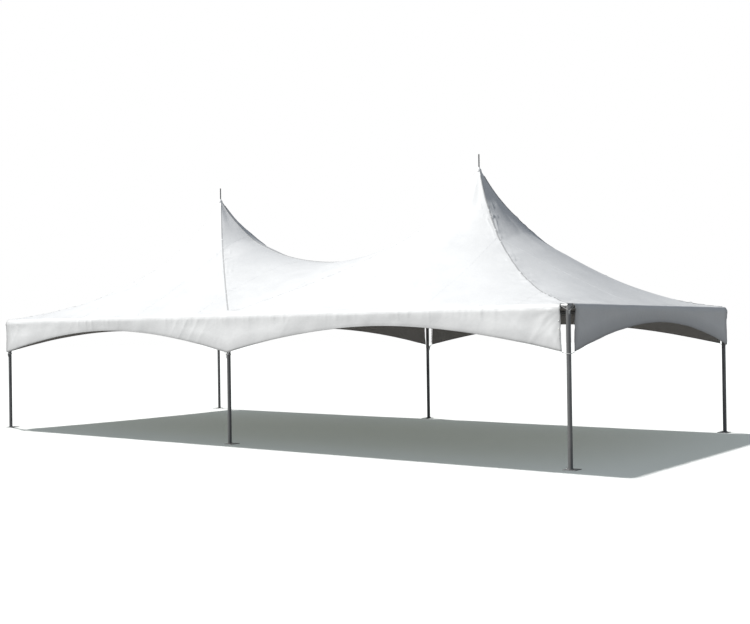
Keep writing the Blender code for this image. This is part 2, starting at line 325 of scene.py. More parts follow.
def new_piece(name, shape, material, nodes=(), sharp=None):
    """Mesh piece of the tent that rides on the one body."""
    mesh = bpy.data.meshes.new(name)
    mesh.from_pydata(shape.verts, [], shape.faces)
    bm = bmesh.new()
    bm.from_mesh(mesh)
    bmesh.ops.remove_doubles(bm, verts=bm.verts[:], dist=0.00004)
    bmesh.ops.recalc_face_normals(bm, faces=bm.faces[:])
    bm.to_mesh(mesh)
    bm.free()
    mesh.materials.append(material)
    mesh.shade_smooth()
    if sharp:
        mesh.set_sharp_from_angle(angle=math.radians(sharp))
    piece = bpy.data.objects.new(name, mesh)
    bpy.context.scene.collection.objects.link(piece)
    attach(piece, "root")
    if nodes:
        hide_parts(*nodes)
    return piece


def aimed(spot, direction, roll=0.0):
    """Matrix that puts a form's own Z along a direction at a spot."""
    turn = Vector(direction).to_track_quat("Z", "Y").to_matrix().to_4x4()
    return Matrix.Translation(Vector(spot)) @ turn @ Matrix.Rotation(roll, 4, "Z")


def turned(profile, sides=20):
    """Profile of (radius, height) pairs turned round Z."""
    verts = [(r * math.cos(2 * math.pi * j / sides), r * math.sin(2 * math.pi * j / sides), z)
             for r, z in profile for j in range(sides)]
    faces = [(k * sides + j, k * sides + (j + 1) % sides,
              (k + 1) * sides + (j + 1) % sides, (k + 1) * sides + j)
             for k in range(len(profile) - 1) for j in range(sides)]
    return verts, faces


def grid_faces(rows, columns):
    """Quads of a grid of points stored row by row."""
    return [(k * columns + j, k * columns + j + 1,
             (k + 1) * columns + j + 1, (k + 1) * columns + j)
            for k in range(rows - 1) for j in range(columns - 1)]


def smooth_path(points, step):
    """Evenly spaced points on a smooth curve through the given ones."""
    knots = [Vector(p) for p in points]
    knots = [knots[0] * 2 - knots[1]] + knots + [knots[-1] * 2 - knots[-2]]
    dense = []
    for a, b, c, d in zip(knots, knots[1:], knots[2:], knots[3:]):
        for k in range(12):
            t = k / 12
            dense.append(0.5 * (2 * b + (c - a) * t + (2 * a - 5 * b + 4 * c - d) * t ** 2
                                + (3 * b - a - 3 * c + d) * t ** 3))
    dense.append(knots[-2])
    dense = np.array(dense)
    reach = np.concatenate([[0], np.cumsum(np.linalg.norm(np.diff(dense, axis=0), axis=1))])
    even = np.linspace(0, reach[-1], max(2, round(reach[-1] / step)) + 1)
    return np.stack([np.interp(even, reach, dense[:, k]) for k in range(3)], axis=1)


def sweep(points, radius, sides=9, strands=0, pitch=0.03, depth=0.18):
    """Tube along points; with strands its section twists like laid rope."""
    points = np.array(points, dtype=float)
    ahead = np.gradient(points, axis=0)
    ahead /= np.linalg.norm(ahead, axis=1)[:, None]
    reach = np.concatenate([[0], np.cumsum(np.linalg.norm(np.diff(points, axis=0), axis=1))])
    start = np.array((0, 0, 1.0)) if abs(ahead[0][2]) < 0.9 else np.array((1.0, 0, 0))
    side = np.cross(ahead[0], start)
    angles = 2 * math.pi * np.arange(sides) / sides
    verts = []
    for spot, way, length in zip(points, ahead, reach):
        side = side - way * (side @ way)
        side /= np.linalg.norm(side)
        up = np.cross(way, side)
        size = np.full(sides, radius)
        if strands:
            size = radius * (1 - depth * (1 - np.abs(np.cos(
                strands / 2 * (angles - 2 * math.pi * length / pitch)))))
        verts.extend(spot + np.outer(size * np.cos(angles), side)
                     + np.outer(size * np.sin(angles), up))
    faces = [(k * sides + j, k * sides + (j + 1) % sides,
              (k + 1) * sides + (j + 1) % sides, (k + 1) * sides + j)
             for k in range(len(points) - 1) for j in range(sides)]
    faces.append(tuple(range(sides)))
    faces.append(tuple(range(len(verts) - sides, len(verts))))
    return verts, faces


def waves(position, seed, length, count=5):
    """Smooth repeatable ups and downs along a line, about -1 to 1."""
    position = np.asarray(position, dtype=float)
    total = np.zeros_like(position)
    for k in range(count):
        pace = 2 * math.pi / (length * (0.55 + 0.31 * k))
        total += np.sin(position * pace + seed * (1.7 + k * 2.3) + k * 1.9)
    return total / count * 1.6


def creases(position, seed, length):
    """Sharp folds at uneven spacing along a line, 0 to about 1."""
    warped = position + 0.4 * length * waves(position, seed + 5, 3.1 * length)
    fold = (1 - np.abs(np.sin(math.pi * warped / length + seed))) ** 2
    return fold * np.clip(0.5 + 0.6 * waves(position, seed + 8, 4.3 * length), 0, 1.2)


def leg_nearness(s, line_start, width):
    """1 on a leg line and falling to 0 beside it, along one side of the tent."""
    apart = np.abs(np.mod(s - line_start + HALF, BAY) - HALF)
    return np.exp(-(apart / width) ** 2)


def eave_push(s, line_start, seed):
    """How far the cloth stands off the eave tube: slack, small creases and fitting lumps."""
    slack = 0.012 + 0.005 * (1 + np.clip(waves(s, seed, 0.9), -1, 1))
    patchy = np.clip(0.65 + waves(s, seed + 11, 2.2), 0.2, 1)
    small = patchy * (0.009 * creases(s, seed, 0.27) + 0.004 * creases(s, seed + 2, 0.12))
    lump = 0.010 * leg_nearness(s, line_start, 0.10)
    return slack + small + lump


class Roof:
    """Half a bay of the stretched roof, solved as a membrane with stiffer lines."""

    def __init__(self):
        steps = np.arange(SIDE_STEPS + 1) / SIDE_STEPS
        to_corner = 1 - (1 - steps) ** 1.5
        from_corner = steps ** 1.5
        border = [(HALF, HALF * t) for t in to_corner]
        border += [(HALF * (1 - t), HALF) for t in from_corner[1:]]
        border += [(-HALF * t, HALF) for t in to_corner[1:]]
        border += [(-HALF, HALF * (1 - t)) for t in from_corner[1:]]
        border = np.array(border)
        angles = np.arctan2(border[:, 1], border[:, 0])
        ring = RING_R * np.stack([np.cos(angles), np.sin(angles)], axis=1)
        share = np.arange(NET_RINGS + 1) / NET_RINGS
        outward = 1 - (1 - share ** 1.5) ** 1.25
        self.plan = ring[None] + (border - ring)[None] * outward[:, None, None]
        self.columns = len(border)
        self.height = self.solve()

    def solve(self):
        """Heights by conjugate gradients, 1 at the mast ring and 0 at the eaves."""
        rows, columns = NET_RINGS + 1, self.columns
        index = np.arange(rows * columns).reshape(rows, columns)
        spots = self.plan.reshape(-1, 2)
        a, b = index[:-1, :-1].ravel(), index[:-1, 1:].ravel()
        c, d = index[1:, 1:].ravel(), index[1:, :-1].ravel()
        first, second, strength = [], [], []
        for triangle in ((a, b, c), (a, c, d), (a, b, d), (b, c, d)):
            for turn in range(3):
                apex, left, right = (triangle[(turn + k) % 3] for k in range(3))
                u, v = spots[left] - spots[apex], spots[right] - spots[apex]
                cross = np.abs(u[:, 0] * v[:, 1] - u[:, 1] * v[:, 0])
                first.append(left)
                second.append(right)
                strength.append(0.25 * (u * v).sum(axis=1) / cross)
        lines = {SIDE_STEPS: HIP_PULL, 3 * SIDE_STEPS: HIP_PULL, columns - 1: RIDGE_PULL / 2}
        for column, pull in lines.items():
            near, far = index[:-1, column], index[1:, column]
            first.append(near)
            second.append(far)
            strength.append(pull / np.linalg.norm(spots[near] - spots[far], axis=1))
        first, second = np.concatenate(first), np.concatenate(second)
        strength = np.concatenate(strength)
        count = rows * columns

        def pulls(values):
            flow = strength * (values[first] - values[second])
            return np.bincount(first, flow, count) - np.bincount(second, flow, count)

        height = np.zeros(count)
        height[index[0]] = 1.0
        free = np.ones(count, dtype=bool)
        free[index[0]] = False
        free[index[-1, :3 * SIDE_STEPS + 1]] = False
        weight = np.bincount(first, strength, count) + np.bincount(second, strength, count)
        rest = -pulls(height) * free
        scaled = rest / weight
        step = scaled.copy()
        energy = float(rest @ scaled)
        for _ in range(4000):
            spread = pulls(step) * free
            reach = energy / float(step @ spread)
            height += reach * step
            rest -= reach * spread
            scaled = rest / weight
            latest = float(rest @ scaled)
            if latest < 1e-15:
                break
            step = scaled + step * (latest / energy)
            energy = latest
        return height.reshape(rows, columns)

    def shape(self):
        """The whole top, mirrored to all four quarters and rolled over the eave tubes."""
        low = EAVE_Z + ROLL_R
        shape = Shape()
        x, y = self.plan[..., 0], self.plan[..., 1]
        z = low + self.height * (PEAK_Z - low)
        last = 3 * SIDE_STEPS + 1
        for sx in (-1, 1):
            for sy in (-1, 1):
                net = np.stack([sx * (HALF + x), sy * y, z], axis=-1)
                shape.add(net.reshape(-1, 3), grid_faces(NET_RINGS + 1, self.columns))
                roll = []
                for step in range(ROLL_STEPS + 1):
                    angle = math.pi / 2 * (1 - step / ROLL_STEPS)
                    out = ROLL_R * math.cos(angle)
                    for j in range(last):
                        px, py = self.plan[-1, j]
                        end = out if j <= SIDE_STEPS else 0.0
                        side = out if j >= SIDE_STEPS else 0.0
                        roll.append((sx * (HALF + px + end), sy * (py + side),
                                     EAVE_Z + ROLL_R * math.sin(angle)))
                quads = [f for f in grid_faces(ROLL_STEPS + 1, last)
                         if f[0] // last < 2 or self.rolled(f[0] % last)]
                shape.add(roll, quads)
        return shape

    def rolled(self, column):
        """Whether the edge is rolled right down at a column: not beside a corner leg."""
        away = np.abs(self.plan[-1, column:column + 2] - (HALF, HALF)).max(axis=1).min()
        return away > CORNER_GAP * 0.8


def roof_folds(x, y):
    """How far each point of the roof stands off its smooth shape, in metres."""
    sx, sy = np.sign(x), np.sign(y)
    seed = 1.3 * sx + 2.1 * sy
    u, v = np.abs(x) - HALF, np.abs(y)
    radius = np.hypot(u, v)
    eave = np.clip(np.minimum(BAY - np.abs(x), HALF - v), 0, None)
    inner = np.clip(eave / 0.35, 0, 1) * np.clip((radius - 0.08) / 0.3, 0, 1)
    push = inner * (0.008 * waves(0.9 * x + 0.35 * y, 3, 2.3) + 0.005 * waves(y - 0.4 * x, 7, 1.3))
    across = np.abs(np.abs(u) - v) / math.sqrt(2)
    along = (np.abs(u) + v) / math.sqrt(2)
    fade = np.clip((along - 0.35) / 0.3, 0, 1) * np.clip((HALF * 1.38 - along) / 0.3, 0, 1)
    outer = np.where(u > 0, 1.0, 0.6)
    puckers = creases(along + 0.45 * across, seed, 0.22) * np.exp(-(across / 0.15) ** 2)
    puckers += 0.7 * creases(along - 0.3 * across, seed + 2, 0.15) * np.exp(-(across / 0.08) ** 2)
    broken = np.clip(waves(along, seed + 4, 0.55), 0, 1) * np.exp(-((across - 0.10) / 0.09) ** 2)
    puckers += 1.2 * broken * creases(across + 0.12 * along, seed + 6, 0.075)
    push += outer * fade * 0.020 * puckers
    long_fold = np.exp(-((across - 0.21 - 0.03 * waves(along, seed, 1.7)) / 0.045) ** 2)
    push -= 0.024 * long_fold * np.exp(-((along - 1.9) / 0.6) ** 2) * (u > v) * (y * x > 0)
    fall_out = np.maximum(np.abs(u), v) - 0.85 - 0.06 * waves(np.minimum(np.abs(u), v), seed, 0.8)
    push -= 0.024 * np.clip(1 - np.abs(fall_out) / 0.40, 0, 1)
    push += 0.030 * np.exp(-(x / 0.14) ** 2 - (eave / 0.12) ** 2) * np.clip(eave / 0.015, 0, 1)
    for corner in (HALF, -HALF):
        away = np.hypot(corner - u, HALF - v)
        spread = np.arctan2(HALF - v, np.abs(corner - u))
        reach = np.exp(-((away - 0.45) / 0.40) ** 2) * np.clip(eave / 0.05, 0, 1)
        push += (0.010 if corner > 0 else 0.005) * reach * creases(spread, seed + corner, 0.21)
    side = np.where(BAY - np.abs(x) < HALF - v, y * sx, x * -sy)
    near_eave = np.exp(-(eave / 0.13) ** 2) * np.clip(eave / 0.02, 0, 1)
    push += near_eave * (0.013 * creases(side, 5 + seed, 0.27) + 0.007 * creases(side, seed, 0.12))
    push += 0.004 * np.cos(9 * np.arctan2(v, u) + seed) * np.exp(-((radius - 0.35) / 0.2) ** 2)
    return push


def thicken(piece, inner):
    """Gives a sheet its thickness and its inner side a darker, warmer vinyl: painted shade for the
    shaded underside.
    """
    piece.data.materials.append(inner)
    skin = piece.modifiers.new("skin", "SOLIDIFY")
    skin.thickness = CLOTH
    skin.offset = 1.0
    skin.material_offset = 1


def face_outward(piece, outward):
    """Turns an open sheet so that its first face looks the right way."""
    if piece.data.polygons[0].normal.dot(Vector(outward)) < 0:
        piece.data.flip_normals()


def make_roof():
    """The roof sheet with its folds; returns it and a lookup of its surface."""
    piece = new_piece("roof_cover", Roof().shape(), VINYL, ("canopy",))
    mesh = piece.data
    face_outward(piece, (0, 0, 1))
    count = len(mesh.vertices)
    spots, normals = np.empty(count * 3), np.empty(count * 3)
    mesh.vertices.foreach_get("co", spots)
    mesh.vertices.foreach_get("normal", normals)
    spots, normals = spots.reshape(-1, 3), normals.reshape(-1, 3)
    push = roof_folds(spots[:, 0], spots[:, 1])
    push[spots[:, 2] < EAVE_Z + ROLL_R + 0.0001] = 0.0
    spots += normals * push[:, None]
    mesh.vertices.foreach_set("co", spots.ravel())
    mesh.update()
    surface = BVHTree.FromPolygons([v.co for v in mesh.vertices],
                                   [p.vertices for p in mesh.polygons])
    # The inner side gets the darker vinyl: painted shade under the roof
    thicken(piece, VINYL_INNER_PAINTED_SHADE)
    return piece, surface


def on_roof(surface, x, y, rise):
    """Point above (or below, with a negative rise) the roof at a plan position."""
    spot, normal, _, _ = surface.ray_cast(Vector((x, y, 9.0)), Vector((0, 0, -1)))
    if spot is None:
        return None
    return spot + normal * (rise if normal.z > 0 else -rise)


def roof_strip(surface, points, width, rise, thick):
    """Closed strip that follows the roof along a line of plan points."""
    path = np.array(points, dtype=float)
    ahead = np.gradient(path, axis=0)
    ahead /= np.linalg.norm(ahead, axis=1)[:, None]
    side = np.stack([-ahead[:, 1], ahead[:, 0]], axis=1)
    verts, ring = [], [(-0.5, 0), (0, 0), (0.5, 0), (0.5, thick), (0, thick), (-0.5, thick)]
    for spot, across in zip(path, side):
        for share, lift in ring:
            x, y = spot + across * width * share
            verts.append(on_roof(surface, x, y, rise + lift) or Vector((x, y, EAVE_Z)))
    count = len(ring)
    faces = [(k * count + j, k * count + (j + 1) % count,
              (k + 1) * count + (j + 1) % count, (k + 1) * count + j)
             for k in range(len(path) - 1) for j in range(count)]
    faces.append(tuple(range(count)))
    faces.append(tuple(range(len(verts) - count, len(verts))))
    return verts, faces


def hip_line(sx, sy, toward, steps=90, start=0.06, end=0.995):
    """Plan points along one hip, from near the mast to near the leg."""
    share = np.linspace(start / HALF, end, steps)
    return [(sx * (HALF + toward * HALF * t), sy * HALF * t) for t in share]


def make_seams(surface):
    """Seam tapes along the corner hips and ridge, welds on the others, webbing beneath."""
    tapes, straps, panels = Shape(), Shape(), Shape()
    for sx in (-1, 1):
        for sy in (-1, 1):
            for toward in (-1, 1):
                line = hip_line(sx, sy, toward)
                straps.add(*roof_strip(surface, line, 0.050, -0.0065, 0.0030))
                if toward != sx:
                    panels.add(*roof_strip(surface, line, 0.040, SEAM_RISE, 0.0012))
                elif sy < 0:
                    tapes.add(*roof_strip(surface, line, 0.024, SEAM_RISE, 0.0012))
                else:
                    tapes.add(*roof_strip(surface, line, 0.030, SEAM_RISE, PIPING))
    ridge = [(x, 0.0) for x in np.linspace(-HALF + 0.06, HALF - 0.06, 120)]
    tapes.add(*roof_strip(surface, ridge, 0.030, SEAM_RISE, PIPING))
    for x in np.arange(-3.5, 4) * BAY / 4:
        inner = max(abs(x) - HALF, 0.0) + 0.05
        for sy in (-1, 1):
            line = [(x, sy * y) for y in np.linspace(inner, HALF - 0.02, 60)]
            panels.add(*roof_strip(surface, line, 0.030, SEAM_RISE - 0.0004, 0.0006))
    for y in (-0.75 * HALF, -0.25 * HALF, 0.25 * HALF, 0.75 * HALF):
        for sx in (-1, 1):
            line = [(sx * x, y) for x in np.linspace(HALF + abs(y) + 0.05, BAY - 0.02, 50)]
            panels.add(*roof_strip(surface, line, 0.030, SEAM_RISE - 0.0004, 0.0006))
    # The tapes are darker than the roof: painted shade along the hips and ridge
    new_piece("hip_and_ridge_tapes", tapes, SEAM_PAINTED_SHADE, sharp=40)
    new_piece("panel_welds", panels, VINYL, sharp=40)
    new_piece("hip_webbing", straps, WEBBING, sharp=40)


def drop_at(distance):
    """Valance depth at a distance from a leg line, the same in every bay."""
    share = np.abs(2 * np.mod(distance / BAY, 1.0) - 1)
    return DROP_MID + (DROP_LEG - DROP_MID) * share ** DROP_POWER


class Valance:
    """One hanging edge sheet, in its own frame: s along the eave, outward is -Y."""

    def __init__(self, name, node, span, line_start, centre, turn, seed):
        self.name, self.node, self.span = name, node, span
        self.line_start, self.seed = line_start, seed
        self.matrix = Matrix.Translation(Vector(centre)) @ Matrix.Rotation(turn, 4, "Z")
        self.columns = round((span[1] - span[0]) / FOLD_STEP) + 1
        self.s = np.linspace(*span, self.columns)

    def folds(self, s, fall, depth):
        """How far the cloth stands out of its plane at a fall below the eave."""
        seed = self.seed
        low = np.clip(fall / 0.30, 0, 1)
        reach = 0.12 + 0.04 * np.clip(waves(s, seed + 3, 0.7), -1, 1)
        below = np.clip(fall - EAVE_SAG, 0, None)
        out = eave_push(s, self.line_start, seed) * np.exp(-(below / reach) ** 1.5)
        out = out + 0.010 * low * (1 + np.clip(waves(s + 0.3 * fall, seed + 2, 1.5), -1, 1))
        patchy = np.clip(waves(s + 0.5 * fall, seed + 9, 1.9), 0, 1) * np.clip(fall / 0.05, 0, 1)
        out += 0.006 * patchy * creases(s + 0.7 * fall, seed + 4, 0.34)
        patchy = np.clip(waves(s - 0.7 * fall, seed + 13, 1.7), 0, 1) * np.clip(fall / 0.05, 0, 1)
        out += 0.006 * patchy * creases(s - 1.1 * fall, seed + 7, 0.29)
        out += 0.005 * (fall / depth) ** 3 * (1 + np.clip(waves(s, seed + 6, 0.6), -1, 1))
        for line in self.leg_lines():
            away = np.hypot(s - line, fall * 0.9)
            spread = np.arctan2(fall + 0.01, np.abs(s - line) + 0.02)
            reach = np.clip(away / 0.10, 0, 1) * np.exp(-(away / 0.42) ** 2)
            at_end = min(abs(line - end) for end in self.span) < 0.2
            out += (0.018 if at_end else 0.003) * reach * creases(spread, seed + line, 0.26)
        return out

    def leg_lines(self):
        """Places of the legs along this side."""
        first = self.line_start
        return [first + k * BAY for k in range(-2, 3)
                if self.span[0] - 0.2 < first + k * BAY < self.span[1] + 0.2]

    def shift(self, s, fall, depth):
        """Sideways pull of the ends towards the legs, most at the tied lower corners."""
        total = np.zeros_like(s)
        for end, sign in zip(self.span, (-1, 1)):
            near = np.exp(-np.abs(s - end) / 0.10)
            pull = 0.016 * (fall / depth) ** 3 - 0.006 * np.sin(math.pi * fall / DROP_LEG)
            total += sign * near * (pull + 0.003 * waves(fall, self.seed + sign, 0.25))
        return total

    def spot(self, s, fall, out):
        """World point at a place along, below the eave line and out of the plane."""
        return self.matrix @ Vector((s, -out, EAVE_Z - fall))

    def rows(self):
        """Rows of points: over the eave roll, then down to the arched edge."""
        depth = drop_at(self.s - self.line_start)
        rows = []
        top = ROLL_R + 2 * CLOTH + CLEAR
        push = eave_push(self.s, self.line_start, self.seed)
        for step in range(ROLL_ROWS):
            angle = math.radians(84 * (1 - step / ROLL_ROWS))
            out = (ROLL_R + CLOTH + CLEAR + push) * math.cos(angle) - ROLL_R
            rise = top - (top + EAVE_SAG) * (1 - math.sin(angle))
            rows.append([self.spot(s, -rise, o) for s, o in zip(self.s, out)])
        for k in range(DROP_ROWS + 1):
            fall = EAVE_SAG + (depth - EAVE_SAG) * k / DROP_ROWS
            out = CLOTH + CLEAR + self.folds(self.s, fall, depth)
            along = self.s + self.shift(self.s, fall, depth)
            rows.append([self.spot(s, f, o) for s, f, o in zip(along, fall, out)])
        return rows

    def build(self):
        """The sheet, with each point's distance to the hem stored for its material."""
        rows = self.rows()
        shape = Shape()
        shape.add([p for row in rows for p in row], grid_faces(len(rows), self.columns))
        piece = new_piece(self.name, shape, VINYL_HEM, (self.node,))
        outward = self.matrix.to_3x3() @ Vector((0, -1, 0))
        face_outward(piece, outward + Vector((0, 0, 1)))
        inverse = self.matrix.inverted()
        local = np.array([inverse @ v.co for v in piece.data.vertices])
        depth = drop_at(local[:, 0] - self.line_start)
        edge = np.minimum(depth - (EAVE_Z - local[:, 2]),
                          np.minimum(local[:, 0] - self.span[0], self.span[1] - local[:, 0]) * 1.5)
        for name, values in (("edge", np.clip(edge, 0, 9)), ("along", local[:, 0])):
            store = piece.data.attributes.new(name, "FLOAT", "POINT")
            store.data.foreach_set("value", values.astype(np.float32))
        thicken(piece, VINYL_INNER_PAINTED_SHADE)
        ends = rows[ROLL_ROWS - 2:]
        self.rim = [row[0] for row in ends] + rows[-1][1:-1] + [row[-1] for row in ends[::-1]]
        return piece


FRONT_Y = -HALF - ROLL_R
END_X = BAY + ROLL_R
LONG_END = BAY - CORNER_GAP
SHORT_END = HALF - CORNER_GAP
CLOSED_X = BAY + 0.030
CLOSED_Y = HALF + 0.030


def make_valances():
    """All five hanging sheets and the corded hems along their edges."""
    sheets = [
        Valance("front_valance", "valance_front", (-CLOSED_X, LONG_END), 0.0,
                (0, FRONT_Y, 0), 0.0, 1.0),
        Valance("back_right_valance", "valance_back_right", (-LONG_END, -CORNER_GAP), 0.0,
                (0, -FRONT_Y, 0), math.pi, 2.0),
        Valance("back_left_valance", "valance_back_left", (CORNER_GAP, LONG_END), 0.0,
                (0, -FRONT_Y, 0), math.pi, 3.0),
        Valance("right_end_valance", "valance_right_end", (-SHORT_END, CLOSED_Y), -HALF,
                (END_X, 0, 0), math.pi / 2, 4.0),
        Valance("left_end_valance", "valance_left_end", (-SHORT_END, SHORT_END), -HALF,
                (-END_X, 0, 0), -math.pi / 2, 5.0),
    ]
    hems = Shape()
    for sheet in sheets:
        sheet.build()
        hems.add(*sweep(sheet.rim, HEM_R, sides=8))
    # The hem cords carry painted shade: dark grey where the real white hem is only in shadow
    new_piece("corded_hems", hems, HEM_PAINTED_SHADE)
    return sheets


def tie_path(x, y, z, turns=2.2):
    """Rope wound round a leg."""
    radius = TUBE_R + TIE_R + 0.0006
    outward = math.atan2(y, x) if abs(x) > 1 else math.copysign(math.pi / 2, y)
    points = []
    for k in range(round(turns * 14) + 1):
        share = k / (turns * 14)
        angle = outward + math.pi * turns * (2 * share - 1)
        points.append((x + radius * math.cos(angle), y + radius * math.sin(angle),
                       z + 0.0105 * turns * (share - 0.5)))
    return points


def make_ties():
    """Ropes that tie the valances' lower corners to the legs, with their knots."""
    ropes, straps = Shape(), Shape()
    tie_z = EAVE_Z - DROP_LEG - 0.030
    hem_z = EAVE_Z - DROP_LEG + 0.012
    out = TUBE_R + TIE_R + 0.002
    plane = ROLL_R + 0.012
    for x, y in LEG_SPOTS:
        sx, sy = (math.copysign(1, x) if x else 0), math.copysign(1, y)
        if sx < 1:
            ropes.add(*sweep(smooth_path(tie_path(x, y, tie_z), 0.004), TIE_R, 8, 3, 0.02))
        if sx:
            corner_vee(ropes, x, y, sx, sy)
            line = [(x - sx * (CORNER_GAP - 0.012), y + sy * plane, hem_z),
                    (x - sx * 0.03, y + sy * out, hem_z - 0.014),
                    (x + sx * out * 0.72, y + sy * out * 0.72, hem_z - 0.022),
                    (x + sx * out, y - sy * 0.03, hem_z - 0.014),
                    (x + sx * plane, y - sy * (CORNER_GAP - 0.012), hem_z)]
        else:
            reach = CORNER_GAP - 0.012 if y > 0 else 0.060
            low = hem_z - (0.0 if y > 0 else 0.012)
            line = [(x - reach, y + sy * plane, low),
                    (x - 0.030, y + sy * (out + 0.004), hem_z - 0.024),
                    (x, y + sy * (out + 0.006), hem_z - 0.032),
                    (x + 0.030, y + sy * (out + 0.004), hem_z - 0.024),
                    (x + reach, y + sy * plane, low)]
        ropes.add(*sweep(smooth_path(line, 0.004), TIE_R, 8, 3, 0.02))
        if sx < 1:
            knot_at(ropes, straps, x, y, sx, sy, tie_z)
    new_piece("leg_ties", ropes, ROPE)
    new_piece("strap_ends", straps, DARK_WEBBING, sharp=40)


def corner_vee(ropes, x, y, sx, sy):
    """White cords from the two upper valance corners, meeting in front of the leg head."""
    out = TUBE_R + LACE_R + 0.001
    meet = (x + sx * out * 0.74, y + sy * out * 0.74, EAVE_Z - 0.075)
    foot = (x + sx * out * 0.72, y + sy * out * 0.72, EAVE_Z - 0.115)
    for top in ((x - sx * 0.080, y + sy * (ROLL_R + LACE_R), EAVE_Z - 0.004),
                (x + sx * (ROLL_R + LACE_R), y - sy * 0.080, EAVE_Z - 0.004)):
        middle = [0.45 * a + 0.55 * b for a, b in zip(top, meet)]
        middle[0] += sx * 0.010
        middle[1] += sy * 0.010
        ropes.add(*sweep(smooth_path([top, middle, meet, foot], 0.004), LACE_R, 8, 3, 0.016))


def knot_at(ropes, straps, x, y, sx, sy, z):
    """Overhand knot with two stiff ends beside a leg, and a short strap end below it."""
    away = TUBE_R + 2 * TIE_R + 0.002
    angle = math.atan2(sy, sx) - 0.7 * (1 if sx >= 0 else -1)
    centre = Vector((x + away * math.cos(angle), y + away * math.sin(angle), z))
    turn = Matrix.Rotation(angle, 4, "Z")
    size = 0.0062
    loop = []
    for k in range(40):
        t = 2 * math.pi * k / 39
        spot = Vector(((math.sin(t) + 2 * math.sin(2 * t)) * size * 0.5,
                       (math.cos(t) - 2 * math.cos(2 * t)) * size * 0.55,
                       -math.sin(3 * t) * size * 0.8))
        loop.append(centre + turn.to_3x3() @ spot)
    ropes.add(*sweep(loop, TIE_R * 0.85, 8, 3, 0.02))
    for side, length in ((-1, 0.045), (1, 0.060)):
        tail = [centre + turn.to_3x3() @ Vector(spot) for spot in
                ((0, side * 0.004, -0.004), (0.004, side * 0.010, -0.4 * length),
                 (0.002, side * 0.013, -length))]
        ropes.add(*sweep(smooth_path(tail, 0.004), TIE_R * 0.85, 8, 3, 0.02))
    section = [(-0.010, -0.0011), (0.010, -0.0011), (0.010, 0.0011), (-0.010, 0.0011)]
    verts = []
    for k in range(7):
        bend = 0.004 * math.sin(k * 0.8)
        for across, deep in section:
            spot = Vector((deep + bend - 0.006, across, -0.012 - 0.010 * k))
            verts.append(centre + turn.to_3x3() @ spot)
    faces = [(k * 4 + j, k * 4 + (j + 1) % 4, k * 4 + 4 + (j + 1) % 4, k * 4 + 4 + j)
             for k in range(6) for j in range(4)]
    straps.add(verts, [*faces, (0, 1, 2, 3), (24, 25, 26, 27)])


def slit_edges():
    """The upright valance edges beside legs: leg, direction to the cloth, outward."""
    edges = []
    for x, y in LEG_SPOTS:
        sx, sy = (math.copysign(1, x) if x else 0), math.copysign(1, y)
        if sx:
            edges.append((x, y, (-sx, 0), (0, sy)))
            edges.append((x, y, (0, -sy), (sx, 0)))
        elif y > 0:
            edges.append((x, y, (-1, 0), (0, 1)))
            edges.append((x, y, (1, 0), (0, 1)))
    return edges


def make_lacing():
    """Grommets down the slit edges, and rope laced through them at the back legs."""
    rings, ropes = Shape(), Shape()
    plane = ROLL_R + CLOTH * 2 + 0.010
    heights = [EAVE_Z - 0.09 - 0.11 * k for k in range(5)]
    ring = [(0.006, -0.0025), (0.0105, -0.003), (0.0125, -0.0008), (0.0105, 0.0022),
            (0.0075, 0.0026), (0.006, 0.0012), (0.006, -0.0025)]
    for x, y, to_cloth, outward in slit_edges():
        reach = CORNER_GAP + 0.020
        base = Vector((x + to_cloth[0] * reach + outward[0] * plane,
                       y + to_cloth[1] * reach + outward[1] * plane, 0))
        for z in heights:
            rings.add(*turned(ring, 18), aimed(base + Vector((0, 0, z)), (*outward, 0)))
        if not (y > 0 and x < 1 and to_cloth[0] > 0):
            continue
        points = []
        turns = 9
        for k in range(turns * 6 + 1):
            share = k / (turns * 6)
            angle = 2 * math.pi * share * turns
            side = 0.024 * math.cos(angle) - 0.016
            deep = 0.014 * math.sin(angle)
            points.append((base.x + to_cloth[0] * side + outward[0] * (deep - 0.008),
                           base.y + to_cloth[1] * side + outward[1] * (deep - 0.008),
                           heights[0] + 0.03 - share * 0.50))
        ropes.add(*sweep(smooth_path(points, 0.006), LACE_R, 7, 3, 0.016))
        slack = [(base.x - to_cloth[0] * away, base.y + outward[1] * deep, EAVE_Z - fall)
                 for away, deep, fall in ((0.050, 0.004, 0.10), (0.044, 0.008, 0.30),
                                          (0.050, 0.005, 0.52), (0.062, -0.004, 0.66))]
        ropes.add(*sweep(smooth_path(slack, 0.006), LACE_R, 7, 3, 0.016))
    new_piece("grommets", rings, BRIGHT, sharp=50)
    new_piece("edge_lacing", ropes, ROPE)


def bolt(shape, spot, direction, size=1.0):
    """Hex head on a washer."""
    matrix = aimed(spot, direction) @ Matrix.Scale(size, 4)
    washer = [(0, 0), (0.0135, 0), (0.0135, 0.0016), (0.0125, 0.0022), (0, 0.0022)]
    head = [(0, 0.002), (0.0098, 0.002), (0.0102, 0.0026), (0.0102, 0.0072), (0.0088, 0.0085),
            (0, 0.0085)]
    shape.add(*turned(washer, 20), matrix)
    shape.add(*turned(head, 6), matrix)


def ring_pin(shape, spot, direction):
    """Locking pin with a pull ring, as on leg collars."""
    matrix = aimed(spot, direction)
    shape.add(*turned([(0, -0.004), (0.0052, -0.004), (0.0052, 0.004), (0.0080, 0.0045),
                       (0.0080, 0.0085), (0.0060, 0.0105), (0, 0.0105)], 16), matrix)
    hinge = matrix @ Vector((0, 0, 0.0090))
    sideways = Vector(direction).cross(Vector((0, 0, 1)))
    loop = []
    for k in range(25):
        angle = 2 * math.pi * k / 24
        loop.append(hinge + sideways * 0.014 * math.sin(angle)
                    + Vector((0, 0, 0.014 * math.cos(angle) + 0.012)))
    shape.add(*sweep(loop, 0.0014, 7))


